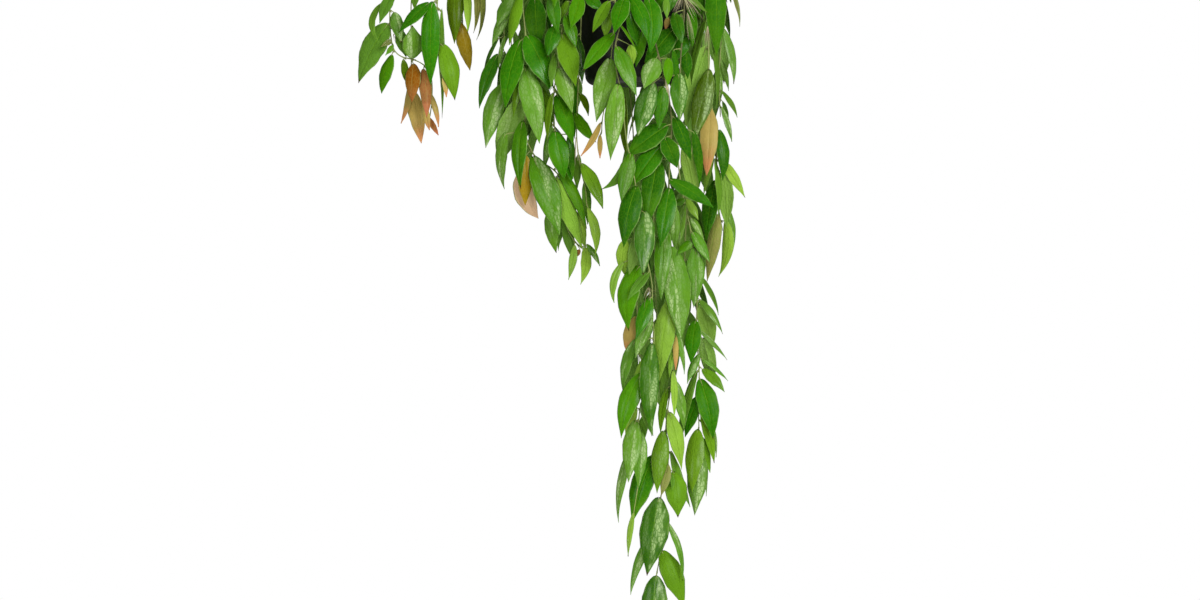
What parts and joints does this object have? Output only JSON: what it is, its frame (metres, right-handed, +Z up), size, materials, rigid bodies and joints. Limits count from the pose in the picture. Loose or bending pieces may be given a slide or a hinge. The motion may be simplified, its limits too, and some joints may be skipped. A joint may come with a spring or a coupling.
{
  "type": "ceratostema hanging basket",
  "caption": "Trailing leafy shrub in a small black hanging pot with a moulded three-strap hanger; long leafy shoots hang in three cascades.",
  "frame": {"origin": "the point of the hook that rests on the rail, at the top of the hanger", "axes": "+Z up along the line of hang, +X to the right seen from the front, -Y towards the front"},
  "size_m": [0.5077, 0.3329, 1.231],
  "materials": {
    "black_plastic": "thin moulded black plastic with a soft gloss",
    "hanger_plastic": "moulded black plastic, satin",
    "potting_mix": "damp bark and peat crumbs",
    "foliage": "leathery pebbled green leaves with a waxy gloss, young ones bronze, on thin tan stems"
  },
  "bodies": {
    "root": {"pot": "black_plastic", "pot_hanger": "hanger_plastic", "potting_mix": "potting_mix", "shoot_left_1": "foliage", "shoot_left_2": "foliage", "shoot_left_3": "foliage", "shoot_left_4": "foliage", "shoot_middle_1": "foliage", "shoot_middle_2": "foliage", "shoot_middle_3": "foliage", "shoot_middle_4": "foliage", "shoot_middle_5": "foliage", "shoot_middle_6": "foliage", "shoot_middle_7": "foliage", "shoot_middle_8": "foliage", "shoot_right_1": "foliage", "shoot_right_2": "foliage", "shoot_right_3": "foliage", "shoot_right_4": "foliage", "shoot_right_5": "foliage", "shoot_right_6": "foliage", "shoot_right_7": "foliage", "shoot_right_8": "foliage", "shoot_right_9": "foliage", "shoot_top_1": "foliage", "shoot_top_2": "foliage", "shoot_top_3": "foliage", "shoot_top_4": "foliage", "shoot_top_5": "foliage"}
  },
  "joints": []
}
